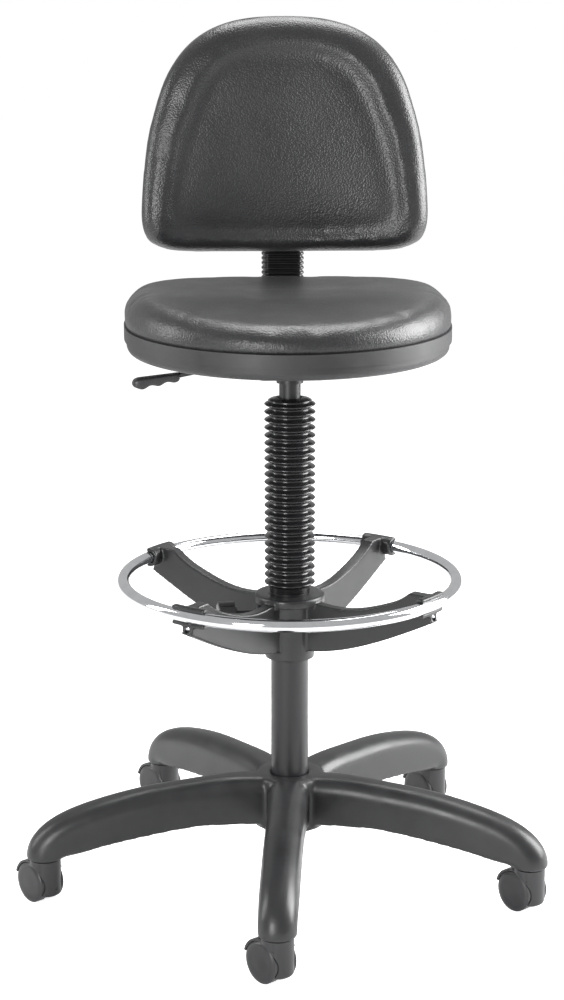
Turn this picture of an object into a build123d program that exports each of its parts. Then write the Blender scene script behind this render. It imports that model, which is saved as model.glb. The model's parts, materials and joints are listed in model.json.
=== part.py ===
from build123d import *
from math import copysign, cos, radians, sin
import os

os.makedirs("parts", exist_ok=True)

# ---------------------------------------------------------------------------
# Driving dimensions, millimetres and degrees.
# The origin is on the floor under the column. The seat faces -Y, +Z is up.
# ---------------------------------------------------------------------------
fit = 0.05                  # radial clearance of a running or assembly fit
gap = 0.3                   # air between faces that move past each other

base_turn = -4.9            # the free swivel has left the base this far round
arm_count = 5
caster_circle = 336.0       # radius on which the caster stems stand
arm_width = 49.0
arm_foot_z = 61.4           # level of the arm's round end

wheel_radius = 27.0
caster_turn = -50.0         # direction in which every caster points at rest
caster_trail = 11.5         # from stem to axle
caster_half_width = 20.5
web_half = 4.5
neck_radius = 20.8
hood_top_z = 60.4
axle_radius = 3.0
stem_radius = 5.5

tube_radius = 25.0
tube_wall = 1.8
tube_bottom_z = 72.0
tube_top_z = 480.0
rod_radius = 5.0
cylinder_radius = 14.0
cylinder_wall = 1.6
cylinder_bottom_z = 390.0
cylinder_top_z = 704.5

ring_radius = 220.0         # centreline of the foot ring
ring_tube = 8.0
ring_z = 420.0
ring_hub_bottom_z = 313.0
ring_hub_top_z = 401.0
spider_turn = 52.7          # direction of the first of the four arms
spider_arms = 4

bellows_bottom_z = 404.0
bellows_top_z = 664.5
bellows_pleats = 24
crest_radius = 32.2
valley_radius = 27.6

seat_half_width = 216.0
seat_widest_y = 60.0
seat_front = 241.0          # from the widest line to the front edge
seat_rear = 164.0           # from the widest line to the rear edge
seam_z = 751.5
pan_bottom_z = 724.0
pan_skirt_z = 717.5         # lowest edge of the pan's outer wall
board_thick = 12.0
seat_top_z = 792.5
pan_wall = 4.0

back_front_y = 160.0        # front of the back cushion on the centre line
back_curve = 630.0          # radius of the cushion's front face
back_bottom_z = 837.0
back_top_z = 1146.0
back_half_width = 193.5
back_foam = 45.0
back_board_thick = 10.0
back_shell_thick = 14.0

bar_width = 50.0
bar_thick = 8.0
bar_z = 712.0               # middle of the bar's level run
bar_y = 246.0               # middle of the bar's upright run
bar_top_z = 1015.0
back_travel = 60.0

mechanism_top_z = pan_bottom_z - 0.1
lever_pivot_x = -30.0
lever_pivot_z = 713.5
lever_y = -20.0             # the lever's rod lies just in front of the column
pin_top_z = cylinder_top_z + 5.0


def save(builder, name):
    """Label a finished piece and write it to its own file."""
    builder.part.label = name
    export_step(builder.part, "parts/" + name + ".step")


def ring_solid(name, outer, inner, low, high, edge=0.0):
    """A plain turned ring or sleeve standing on the column's axis."""
    with BuildPart() as piece:
        with BuildSketch(Plane.XY.offset(low)):
            Circle(outer)
            if inner > 0:
                Circle(inner, mode=Mode.SUBTRACT)
        extrude(amount=high - low)
        if edge > 0:
            chamfer(piece.edges().filter_by(GeomType.CIRCLE), edge)
    save(piece, name)
    return piece


def upright_plane(angle, radius=0.0):
    """Vertical plane through the Z axis: local x runs outward, local y is up."""
    outward = Vector(cos(radians(angle)), sin(radians(angle)), 0)
    return Plane(origin=outward * radius, x_dir=outward, z_dir=outward.cross(Vector(0, 0, 1)))


def facing_plane(angle, radius=0.0):
    """Vertical plane that faces outward from the Z axis: local y is up."""
    outward = Vector(cos(radians(angle)), sin(radians(angle)), 0)
    return Plane(origin=outward * radius, x_dir=Vector(0, 0, 1).cross(outward), z_dir=outward)


# ---------------------------------------------------------------------------
# Five-armed base
# ---------------------------------------------------------------------------
def arm_section(turn, top, bottom, width, top_round, bottom_round):
    """One closed cross-section of an arm, between two points of its side view.

    top and bottom are (radius, height) pairs on the arm's centre plane.
    """
    side = upright_plane(turn)
    high = side.from_local_coords((top[0], top[1], 0))
    low = side.from_local_coords((bottom[0], bottom[1], 0))
    height = (high - low).length
    plane = Plane(origin=(high + low) * 0.5, x_dir=side.z_dir, z_dir=side.z_dir.cross(high - low))
    half_w = width / 2
    half_h = height / 2
    with BuildSketch(plane) as section:
        with BuildLine():
            Line((-half_w + bottom_round, -half_h), (half_w - bottom_round, -half_h))
            RadiusArc((half_w - bottom_round, -half_h), (half_w, -half_h + bottom_round), -bottom_round)
            Line((half_w, -half_h + bottom_round), (half_w, half_h - top_round))
            RadiusArc((half_w, half_h - top_round), (half_w - top_round, half_h), -top_round)
            Line((half_w - top_round, half_h), (-half_w + top_round, half_h))
            RadiusArc((-half_w + top_round, half_h), (-half_w, half_h - top_round), -top_round)
            Line((-half_w, half_h - top_round), (-half_w, -half_h + bottom_round))
            RadiusArc((-half_w, -half_h + bottom_round), (-half_w + bottom_round, -half_h), -bottom_round)
        make_face()
    return section.sketch


# The arm's side view: (top point, bottom point, width factor, corner radii)
arm_stations = [
    ((38, 149.6), (38, 85), 1.1, 20, 3),
    ((64, 152), (60, 87), 1.06, 21, 3),
    ((115, 151.5), (111, 90), 1.01, 21, 3),
    ((176, 147.5), (170, 88), 1.0, 21, 3),
    ((236, 139.5), (226, 81), 1.0, 21, 4),
    ((290, 127), (272, 73), 1.0, 21.5, 6),
    ((331, 109), (299, 66.5), 1.0, 22, 12),
    ((353, 88), (309, 63.5), 1.0, 23, 20),
    ((360.5, arm_foot_z), (311.5, arm_foot_z), 1.0, 24, 24),
]
arm_skin = 6.0
rib_radii = (118.0, 172.0, 226.0)
rib_thick = 3.5

def arm_loft(turn, stations, inset):
    """Solid through the given stations, drawn in by inset on the sides and the top."""
    sections = []
    for top, bottom, spread, top_round, bottom_round in stations:
        roof = (top[0], top[1] - inset)
        floor = (bottom[0], bottom[1] - inset)
        corner = bottom_round if inset == 0 else 2
        sections.append(arm_section(turn, roof, floor, arm_width * spread - 2 * inset, top_round - inset, corner))
    with BuildPart() as body:
        loft(sections)
    return body.part


arm_turns = [-90 + base_turn + arm * 360 / arm_count for arm in range(arm_count)]
hub_radius = 48.0

with BuildPart() as base_hub:
    with BuildSketch(Plane.XZ):
        with BuildLine():
            Polyline((0, 78), (50, 78), (50, 85), (hub_radius, 87), (hub_radius, 142))
            RadiusArc((hub_radius, 142), (hub_radius - 8, 150.4), -8.5)
            Polyline((hub_radius - 8, 150.4), (0, 150.4), (0, 78))
        make_face()
    revolve(axis=Axis.Z)


def base_arm(turn):
    """One arm: the outer loft, hollow from below, with cross ribs in the hollow."""
    with BuildPart() as hollow:
        add(arm_loft(turn, arm_stations[1:6], arm_skin))
        for rib_radius in rib_radii:
            with BuildSketch(facing_plane(turn, rib_radius)):
                with Locations((0, 120)):
                    Rectangle(arm_width, 70)
            extrude(amount=rib_thick / 2, both=True, mode=Mode.SUBTRACT)
    with BuildPart() as body:
        add(arm_loft(turn, arm_stations, 0))
        add(hollow.part, mode=Mode.SUBTRACT)
        with BuildSketch(Plane.XY.offset(arm_foot_z)):
            with Locations(upright_plane(turn, caster_circle).origin):
                Circle(stem_radius + fit)
        extrude(amount=30, mode=Mode.SUBTRACT)
    return body.part


with BuildPart() as star_base:
    add(base_hub.part)
    for turn in arm_turns:
        add(base_arm(turn))
    with BuildSketch(Plane.XY.offset(60)):
        Circle(tube_radius + fit)
    extrude(amount=110, mode=Mode.SUBTRACT)
save(star_base, "star_base")


# ---------------------------------------------------------------------------
# Column: outer tube, thrust bearing, piston rod and gas cylinder
# ---------------------------------------------------------------------------
tube_floor = 3.0
washer_thick = 2.0
ball_radius = 1.8
ball_count = 9
ball_circle = 9.2
washer_radius = 13.0
lower_washer_z = tube_bottom_z + tube_floor + fit
ball_z = lower_washer_z + washer_thick + fit + ball_radius
upper_washer_z = ball_z + ball_radius + fit
shoulder_z = upper_washer_z + washer_thick + fit
piston_z = 446.0
piston_height = 14.0
gland_height = 10.0
bore_radius = cylinder_radius - cylinder_wall
taper_bottom_z = 684.0

with BuildPart() as column_tube:
    with BuildSketch(Plane.XY.offset(tube_bottom_z)):
        Circle(tube_radius)
    extrude(amount=tube_top_z - tube_bottom_z)
    with BuildSketch(Plane.XY.offset(tube_bottom_z + tube_floor)):
        Circle(tube_radius - tube_wall)
    extrude(amount=tube_top_z - tube_bottom_z, mode=Mode.SUBTRACT)
    with BuildSketch(Plane.XY.offset(tube_bottom_z)):
        Circle(rod_radius + fit)
    extrude(amount=tube_floor, mode=Mode.SUBTRACT)
    chamfer(column_tube.edges().group_by(Axis.Z)[0].sort_by(SortBy.RADIUS)[-1], 1)
save(column_tube, "column_tube")

ring_solid("guide_bush", tube_radius - tube_wall - fit, cylinder_radius + fit, 404, tube_top_z - 1)

with BuildPart() as thrust_washers:
    for level in (lower_washer_z, upper_washer_z):
        with BuildSketch(Plane.XY.offset(level)):
            Circle(washer_radius)
            Circle(rod_radius + fit, mode=Mode.SUBTRACT)
        extrude(amount=washer_thick)
save(thrust_washers, "thrust_washers")

with BuildPart() as thrust_balls:
    for ball in range(ball_count):
        plane = upright_plane(ball * 360 / ball_count, ball_circle).offset(0)
        centre = plane.from_local_coords((0, ball_z, 0))
        with BuildSketch(Plane(origin=centre, x_dir=plane.x_dir, z_dir=plane.z_dir)):
            with BuildLine():
                CenterArc((0, 0), ball_radius, -90, 180)
                Line((0, ball_radius), (0, -ball_radius))
            make_face()
        revolve(axis=Axis(centre, (0, 0, 1)))
save(thrust_balls, "thrust_balls")

with BuildPart() as piston_rod:
    with BuildSketch(Plane.XZ):
        with BuildLine():
            Polyline((0, tube_bottom_z - 7), (rod_radius - 1, tube_bottom_z - 7))
            Polyline((rod_radius - 1, tube_bottom_z - 7), (rod_radius, tube_bottom_z - 6))
            Polyline((rod_radius, tube_bottom_z - 6), (rod_radius, tube_bottom_z - 3),
                     (rod_radius - 1, tube_bottom_z - 3), (rod_radius - 1, tube_bottom_z - 1.5),
                     (rod_radius, tube_bottom_z - 1.5), (rod_radius, shoulder_z),
                     (rod_radius + 3, shoulder_z), (rod_radius + 3, shoulder_z + 3),
                     (rod_radius, shoulder_z + 3), (rod_radius, piston_z), (0, piston_z),
                     (0, tube_bottom_z - 7))
        make_face()
    revolve(axis=Axis.Z)
save(piston_rod, "piston_rod")

with BuildPart() as rod_clip:
    with BuildSketch(Plane.XY.offset(tube_bottom_z - 2.9)):
        Circle(9)
        Circle(rod_radius - 1 + fit, mode=Mode.SUBTRACT)
        with Locations((0, -6)):
            Rectangle(2 * rod_radius - 3.4, 12, mode=Mode.SUBTRACT)
    extrude(amount=1.3)
save(rod_clip, "rod_clip")

ring_solid("bump_stop", 11, rod_radius + fit, shoulder_z + 3 + fit, shoulder_z + 17, 1.5)

with BuildPart() as piston:
    with BuildSketch(Plane.XY.offset(piston_z + fit)):
        Circle(bore_radius - fit)
    extrude(amount=piston_height)
    with BuildSketch(Plane.XY.offset(piston_z + fit + piston_height / 2 - 1.5)):
        Circle(bore_radius)
        Circle(bore_radius - 1.8, mode=Mode.SUBTRACT)
    extrude(amount=3, mode=Mode.SUBTRACT)
save(piston, "piston")

with BuildPart() as piston_seal:
    with BuildSketch(Plane.XY.offset(piston_z + fit + piston_height / 2 - 1.4)):
        Circle(bore_radius - 0.02)
        Circle(bore_radius - 1.7, mode=Mode.SUBTRACT)
    extrude(amount=2.8)
save(piston_seal, "piston_seal")

ring_solid("cylinder_gland", bore_radius - fit, rod_radius + fit,
           cylinder_bottom_z + 1, cylinder_bottom_z + 1 + gland_height)

valve_radius = 3.0
with BuildPart() as gas_cylinder:
    with BuildSketch(Plane.XZ):
        with BuildLine():
            Polyline((cylinder_radius, cylinder_bottom_z), (cylinder_radius, taper_bottom_z + 2),
                     (cylinder_radius - 1, cylinder_top_z - 3), (cylinder_radius - 3, cylinder_top_z),
                     (valve_radius + fit, cylinder_top_z), (valve_radius + fit, cylinder_top_z - 26),
                     (bore_radius, cylinder_top_z - 26), (bore_radius, cylinder_bottom_z + 1),
                     (rod_radius + 2, cylinder_bottom_z + 1), (rod_radius + 2, cylinder_bottom_z),
                     (cylinder_radius, cylinder_bottom_z))
        make_face()
    revolve(axis=Axis.Z)
save(gas_cylinder, "gas_cylinder")

with BuildPart() as valve_pin:
    with BuildSketch(Plane.XY.offset(cylinder_top_z - 24)):
        Circle(valve_radius)
    extrude(amount=pin_top_z - cylinder_top_z + 24)
    chamfer(valve_pin.edges().group_by(Axis.Z)[-1], 0.5)
save(valve_pin, "valve_pin")

with BuildPart() as column_bellows:
    pitch = (bellows_top_z - bellows_bottom_z - 10) / bellows_pleats
    skin = 1.2
    outer_line = [(tube_radius + fit + 0.9, bellows_bottom_z), (tube_radius + fit + 0.9, bellows_bottom_z + 7)]
    for pleat in range(bellows_pleats):
        low = bellows_bottom_z + 7 + pleat * pitch
        outer_line += [(crest_radius, low + pitch / 2), (valley_radius, low + pitch)]
    outer_line[-1] = (crest_radius - 1, bellows_top_z - 3)
    outer_line += [(cylinder_radius + gap + 2, bellows_top_z), (cylinder_radius + gap, bellows_top_z)]
    inner_line = [(cylinder_radius + gap, bellows_top_z - skin), (crest_radius - 3, bellows_top_z - 3 - skin)]
    for radius, level in reversed(outer_line[2:-3]):
        inner_line.append((radius - skin, level))
    inner_line += [(tube_radius + fit, bellows_bottom_z + 7), (tube_radius + fit, bellows_bottom_z)]
    with BuildSketch(Plane.XZ):
        with BuildLine():
            Polyline(*outer_line, *inner_line, outer_line[0])
        make_face()
    revolve(axis=Axis.Z)
save(column_bellows, "column_bellows")


# ---------------------------------------------------------------------------
# Foot ring, its spider and its clamp
# ---------------------------------------------------------------------------
saddle_outer = 13.0
saddle_span = 13.0                    # degrees of the ring that a saddle holds
spider_turns = [spider_turn + arm * 360 / spider_arms for arm in range(spider_arms)]
knob_turn = spider_turn + 135.0
knob_z = 375.0
clamp_radius = 4.0
ring_screw_radius = 2.5

with BuildPart() as footring:
    with BuildSketch(Plane.XZ):
        with Locations((ring_radius, ring_z)):
            Circle(ring_tube)
            Circle(ring_tube - 1.5, mode=Mode.SUBTRACT)
    revolve(axis=Axis.Z)
    with BuildSketch(Plane.XY.offset(ring_z - ring_tube - 1)):
        with PolarLocations(ring_radius, spider_arms, start_angle=spider_turn):
            Circle(ring_screw_radius + fit)
    extrude(amount=5, mode=Mode.SUBTRACT)
save(footring, "footring")

with BuildPart() as footring_spider:
    with BuildSketch(Plane.XZ):
        with BuildLine():
            Polyline((tube_radius + fit, ring_hub_bottom_z), (33, ring_hub_bottom_z), (34, 389), (46.5, 389),
                     (46.5, 398))
            RadiusArc((46.5, 398), (43.5, ring_hub_top_z), -3)
            Polyline((43.5, ring_hub_top_z), (tube_radius + fit, ring_hub_top_z),
                     (tube_radius + fit, ring_hub_bottom_z))
        make_face()
    revolve(axis=Axis.Z)
    for turn in spider_turns:
        with BuildSketch(upright_plane(turn)):
            with BuildLine():
                Spline((28, 394), (92, 393.5), (146, 408), (190, 432), tangents=((1, 0), (0.75, 0.66)))
                Line((190, 432), (214, 432))
                Line((214, 432), (226, 398))
                Spline((226, 398), (165, 368), (95, 340), (28, 326), tangents=((-0.9, -0.45), (-1, -0.1)))
                Line((28, 326), (28, 394))
            make_face()
        extrude(amount=8, both=True)
        start = turn - saddle_span / 2
        with BuildSketch(upright_plane(start)):
            with Locations((ring_radius, ring_z)):
                Circle(saddle_outer)
            with Locations((ring_radius + 4 + saddle_outer, ring_z)):
                Rectangle(2 * saddle_outer, 4 * saddle_outer, mode=Mode.SUBTRACT)
        revolve(axis=Axis.Z, revolution_arc=saddle_span)
    with BuildSketch(Plane.XZ):
        with Locations((ring_radius, ring_z)):
            Circle(ring_tube + fit)
    revolve(axis=Axis.Z, mode=Mode.SUBTRACT)
    with BuildSketch(Plane.XY.offset(ring_z)):
        Circle(ring_radius + 40)
        Circle(ring_radius + 4, mode=Mode.SUBTRACT)
    extrude(amount=20, both=True, mode=Mode.SUBTRACT)
    with BuildSketch(Plane.XY.offset(ring_z - 40)):
        with PolarLocations(ring_radius, spider_arms, start_angle=spider_turn):
            Circle(ring_screw_radius + fit)
    extrude(amount=40, mode=Mode.SUBTRACT)
    with BuildSketch(Plane.XY.offset(ring_z - 40)):
        with PolarLocations(ring_radius, spider_arms, start_angle=spider_turn):
            Circle(ring_screw_radius + 2)
    extrude(amount=40 - saddle_outer - 0.45, mode=Mode.SUBTRACT)
    with BuildSketch(facing_plane(knob_turn)):
        with Locations((0, knob_z)):
            Circle(10)
    extrude(amount=44)
    with BuildSketch(facing_plane(knob_turn)):
        with Locations((0, knob_z)):
            Circle(clamp_radius + fit)
    extrude(amount=60, mode=Mode.SUBTRACT)
    with BuildSketch(Plane.XY.offset(ring_hub_bottom_z - 1)):
        Circle(tube_radius + fit)
    extrude(amount=ring_hub_top_z - ring_hub_bottom_z + 2, mode=Mode.SUBTRACT)
save(footring_spider, "footring_spider")

knob_stem_start = tube_radius + 2.5

with BuildPart() as clamp_pad:
    with BuildSketch(facing_plane(knob_turn, tube_radius + fit)):
        with Locations((0, knob_z)):
            Circle(clamp_radius)
    extrude(amount=knob_stem_start - tube_radius - 2 * fit)
    with BuildSketch(Plane.XY.offset(knob_z - 10)):
        Circle(tube_radius + fit)
    extrude(amount=20, mode=Mode.SUBTRACT)
save(clamp_pad, "clamp_pad")


def star_knob(name, plane, stem_radius, stem_length, head_radius, head_length, lobes=6):
    """Lobed clamp knob: a threaded stem with a grip head beyond it."""
    with BuildPart() as knob:
        with BuildSketch(plane):
            Circle(stem_radius)
        extrude(amount=stem_length + 1)
        with BuildSketch(plane.offset(stem_length)):
            Circle(head_radius)
            with PolarLocations(head_radius * 1.12, lobes):
                Circle(head_radius * 0.3, mode=Mode.SUBTRACT)
        extrude(amount=head_length)
        chamfer(knob.edges().filter_by(GeomType.CIRCLE).group_by(Axis(plane.origin, plane.z_dir))[-1], 1.2)
        with BuildSketch(plane.offset(stem_length - 2.4)):
            Circle(head_radius * 0.55)
        extrude(amount=2.4)
    save(knob, name)


knob_plane = facing_plane(knob_turn, knob_stem_start)
star_knob("footring_knob", Plane(origin=knob_plane.from_local_coords((0, knob_z, 0)), x_dir=knob_plane.x_dir,
                                 z_dir=knob_plane.z_dir), clamp_radius, 47, 17, 22)

with BuildPart() as footring_screws:
    for turn in spider_turns:
        foot = upright_plane(turn).from_local_coords((ring_radius, ring_z - saddle_outer - 3, 0))
        with BuildSketch(Plane(origin=foot, z_dir=(0, 0, 1))):
            Circle(ring_screw_radius + 1.8)
        extrude(amount=2.5)
        with BuildSketch(Plane(origin=foot, z_dir=(0, 0, 1))):
            Circle(ring_screw_radius)
        extrude(amount=11)
save(footring_screws, "footring_screws")


# ---------------------------------------------------------------------------
# Casters: stems in the base, and five hooded twin-wheel units
# ---------------------------------------------------------------------------
with BuildPart() as caster_stems:
    for turn in arm_turns:
        side = upright_plane(turn, caster_circle)
        with BuildSketch(side):
            with BuildLine():
                Polyline((0, 38), (axle_radius, 38), (axle_radius, hood_top_z + 0.2), (stem_radius + 2, hood_top_z + 0.2),
                         (stem_radius + 2, arm_foot_z - fit), (stem_radius, arm_foot_z - fit), (stem_radius, 88),
                         (stem_radius - 1.5, 90), (0, 90), (0, 38))
            make_face()
        revolve(axis=Axis(side.origin, (0, 0, 1)))
save(caster_stems, "caster_stems")

hood_skin = 3.0
hood_bottom_z = 11.0
pocket_radius = wheel_radius + 0.9
wheel_inner = web_half + 0.6
fender_half = caster_half_width - 2.2


def caster(number, turn):
    """Hood, axle and two wheels of one caster, at rest under one arm's end."""
    stem = upright_plane(turn).from_local_coords((caster_circle, 0, 0))
    rolling = Vector(cos(radians(caster_turn)), sin(radians(caster_turn)), 0)
    across = Vector(0, 0, 1).cross(rolling)
    ground = Plane(origin=stem, x_dir=rolling, z_dir=(0, 0, 1))
    axle_point = stem - rolling * caster_trail + Vector(0, 0, wheel_radius)
    side = Plane(origin=axle_point, x_dir=rolling, z_dir=-across)
    turning = Plane(origin=axle_point, x_dir=across, z_dir=rolling)
    axle_line = Axis(axle_point, across)
    with BuildPart() as hood:
        with BuildSketch(ground.offset(hood_bottom_z)):
            Circle(neck_radius)
        extrude(amount=hood_top_z - hood_bottom_z)
        fillet(hood.edges().group_by(Axis.Z)[0], 5)
        with BuildSketch(side):
            Circle(pocket_radius)
        extrude(amount=caster_half_width + 5, both=True, mode=Mode.SUBTRACT)
        with BuildSketch(side):
            Circle(pocket_radius - 4)
            with Locations((caster_trail, 14)):
                Rectangle(18, 30)
            with Locations((caster_trail + neck_radius / 2 - 3, -2)):
                Rectangle(neck_radius, 22)
        extrude(amount=web_half, both=True)
        with BuildSketch(side):
            with BuildLine():
                CenterArc((0, 0), pocket_radius, 40, 125)
                CenterArc((0, 0), pocket_radius + hood_skin, 40, 125)
                Line((0, 0) + pocket_radius * Vector(cos(radians(40)), sin(radians(40))),
                     (pocket_radius + hood_skin) * Vector(cos(radians(40)), sin(radians(40))))
                Line(pocket_radius * Vector(cos(radians(165)), sin(radians(165))),
                     (pocket_radius + hood_skin) * Vector(cos(radians(165)), sin(radians(165))))
            make_face()
        extrude(amount=fender_half, both=True)
        with BuildSketch(ground.offset(36)):
            Circle(axle_radius + fit)
        extrude(amount=40, mode=Mode.SUBTRACT)
        with BuildSketch(ground.offset(hood_top_z)):
            Circle(neck_radius + 15)
        extrude(amount=10, mode=Mode.SUBTRACT)
        with BuildSketch(side):
            Circle(axle_radius + 0.02)
        extrude(amount=web_half + 1, both=True, mode=Mode.SUBTRACT)
    save(hood, "caster_hood_%d" % number)
    with BuildPart() as axle:
        with BuildSketch(side):
            Circle(axle_radius)
        extrude(amount=caster_half_width - 4.5, both=True)
    save(axle, "caster_axle_%d" % number)
    for hand, label in ((-1, "left"), (1, "right")):
        with BuildPart() as wheel:
            with BuildSketch(turning):
                with BuildLine():
                    bore = axle_radius + fit
                    Polyline((hand * wheel_inner, bore), (hand * wheel_inner, wheel_radius - 2),
                             (hand * (wheel_inner + 2), wheel_radius), (hand * 17.5, wheel_radius),
                             (hand * 18.3, wheel_radius - 0.8), (hand * 18.3, wheel_radius - 1.6))
                    Spline((hand * 18.3, wheel_radius - 1.6), (hand * (caster_half_width - 0.5), 16),
                           (hand * caster_half_width, 0), tangents=((hand * 0.8, -1), (0, -1)))
                    Polyline((hand * caster_half_width, 0), (hand * (caster_half_width - 4), 0),
                             (hand * (caster_half_width - 4), bore), (hand * wheel_inner, bore))
                make_face()
            revolve(axis=axle_line)
        save(wheel, "caster_wheel_%d_%s" % (number, label))


for number, turn in enumerate(arm_turns, start=1):
    caster(number, turn)


# ---------------------------------------------------------------------------
# Seat: mechanism, pan, board and cushion
# ---------------------------------------------------------------------------
outline_steps = 12                    # curve points on each half of the seat's plan
rear_squareness = 3.2


def seat_outline(inset):
    """Plan of the seat: half an ellipse in front of its widest line, a squarer half behind it."""
    half = seat_half_width - inset
    front = seat_front - inset
    rear = seat_rear - inset
    points = []
    for step in range(outline_steps):
        angle = radians(180 * step / outline_steps)
        across = copysign(abs(cos(angle)) ** (2 / rear_squareness), cos(angle))
        points.append((half * across, seat_widest_y + rear * sin(angle) ** (2 / rear_squareness)))
    for step in range(outline_steps):
        angle = radians(180 + 180 * step / outline_steps)
        points.append((half * cos(angle), seat_widest_y + front * sin(angle)))
    with BuildSketch() as plan:
        with BuildLine():
            Spline(*points, periodic=True)
        make_face()
    return plan.sketch


mech_half_x = 70.0
mech_front_y = -85.0
mech_rear_y = 150.0
bolt_x = 50.0
bolt_y = 70.0
bolt_radius = 3.0
bolt_spots = [(sx * bolt_x, sy * bolt_y) for sx in (-1, 1) for sy in (-1, 1)]
board_z = pan_bottom_z + 4 + fit
arm_hole_x = 150.0
arm_hole_y = 60.0
arm_hole_gap = 60.0
arm_hole_radius = 3.25
box_bottom_z = 700.0
slot_half_z = bar_thick / 2 + fit

socket_top_z = 703.0
pocket_rear_y = 10.0
hinge_pin_radius = 2.5
tongue_thick = 5.0
plate_thick = 3.0
mech_mid_y = (mech_front_y + mech_rear_y) / 2

with BuildPart() as seat_mechanism:
    with BuildSketch(Plane.XY.offset(mechanism_top_z - plate_thick)):
        with Locations((0, mech_mid_y)):
            RectangleRounded(2 * mech_half_x, mech_rear_y - mech_front_y, 12)
        with Locations(*bolt_spots):
            Circle(bolt_radius + fit, mode=Mode.SUBTRACT)
    extrude(amount=plate_thick)
    with BuildSketch(Plane.XY.offset(box_bottom_z)):
        with Locations((0, mech_mid_y)):
            RectangleRounded(84, mech_rear_y - mech_front_y - 20, 8)
    extrude(amount=mechanism_top_z - plate_thick - box_bottom_z)
    with BuildSketch(Plane.XY.offset(box_bottom_z + 3)):
        with Locations((0, (mech_front_y + 11 + pocket_rear_y) / 2)):
            Rectangle(76, pocket_rear_y - mech_front_y - 11)
    extrude(amount=mechanism_top_z - plate_thick - box_bottom_z - 3, mode=Mode.SUBTRACT)
    with BuildSketch(Plane.XY.offset(taper_bottom_z)):
        Circle(17.5)
    extrude(amount=socket_top_z - taper_bottom_z)
    with BuildSketch(Plane.XY.offset(box_bottom_z)):
        with Locations((lever_pivot_x, -32)):
            Rectangle(14, 8)
    extrude(amount=mechanism_top_z - plate_thick - box_bottom_z)
    with BuildSketch(Plane.XZ):
        with BuildLine():
            Polyline((0, taper_bottom_z - 1), (cylinder_radius + fit, taper_bottom_z - 1),
                     (cylinder_radius + fit, taper_bottom_z + 2),
                     (cylinder_radius - 1 + fit, cylinder_top_z - 3), (cylinder_radius - 1 + fit, cylinder_top_z),
                     (0, cylinder_top_z), (0, taper_bottom_z - 1))
        make_face()
    revolve(axis=Axis.Z, mode=Mode.SUBTRACT)
    with BuildSketch(Plane.XZ.offset(-30)):
        with Locations((0, bar_z)):
            Rectangle(bar_width + 2 * fit, bar_thick + 2 * fit)
    extrude(amount=-200, mode=Mode.SUBTRACT)
    with BuildSketch(Plane.YZ.offset(lever_pivot_x - 30)):
        with Locations((lever_y, lever_pivot_z)):
            Rectangle(18, 13.6)
    extrude(amount=45, mode=Mode.SUBTRACT)
    with BuildSketch(Plane.XZ.offset(36)):
        with Locations((lever_pivot_x, lever_pivot_z)):
            Circle(hinge_pin_radius + fit)
    extrude(amount=-52, mode=Mode.SUBTRACT)
    with BuildSketch(Plane.XY.offset(box_bottom_z - 1)):
        with Locations((0, mech_rear_y - 40)):
            Circle(clamp_radius + fit)
    extrude(amount=bar_z - bar_thick / 2 - box_bottom_z + 1, mode=Mode.SUBTRACT)
save(seat_mechanism, "seat_mechanism")

with BuildPart() as lever_pin:
    with BuildSketch(Plane.XZ.offset(35)):
        with Locations((lever_pivot_x, lever_pivot_z)):
            Circle(hinge_pin_radius)
    extrude(amount=-50)
save(lever_pin, "lever_pin")

lever_bend = (-112.0, 704.5)
lever_end = (-200.0, 687.0)
lever_rod_radius = 3.6
grip_start = (-143.0, 698.3)

with BuildPart() as height_lever:
    with BuildSketch(Plane.XZ.offset(-4)):
        with BuildLine():
            Polyline((lever_pivot_x - 7, lever_pivot_z - tongue_thick / 2), (-4, lever_pivot_z - tongue_thick / 2),
                     (-4, pin_top_z + gap + 2.2))
            ThreePointArc((-4, pin_top_z + gap + 2.2), (0, pin_top_z + gap), (4, pin_top_z + gap + 2.2))
            Polyline((4, pin_top_z + gap + 2.2), (4, lever_pivot_z + tongue_thick / 2),
                     (lever_pivot_x - 7, lever_pivot_z + tongue_thick / 2),
                     (lever_pivot_x - 7, lever_pivot_z - tongue_thick / 2))
        make_face()
    extrude(amount=28)
    with BuildSketch(Plane.XZ.offset(-4)):
        with Locations((lever_pivot_x, lever_pivot_z)):
            Circle(5)
            Circle(hinge_pin_radius + fit, mode=Mode.SUBTRACT)
    extrude(amount=28)
    with BuildLine():
        FilletPolyline((lever_pivot_x - 6, lever_y, lever_pivot_z), (lever_bend[0], lever_y, lever_bend[1]),
                       (lever_end[0], lever_y, lever_end[1]), radius=120)
    with BuildSketch(Plane(origin=(lever_pivot_x - 6, lever_y, lever_pivot_z), x_dir=(0, 1, 0),
                           z_dir=(lever_bend[0] - lever_pivot_x + 6, 0, lever_bend[1] - lever_pivot_z))):
        Circle(lever_rod_radius)
    sweep()
    with BuildSketch(Plane.XZ.offset(26)):
        with Locations((lever_pivot_x, lever_pivot_z)):
            Circle(hinge_pin_radius + fit)
    extrude(amount=-40, mode=Mode.SUBTRACT)
save(height_lever, "height_lever")

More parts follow.
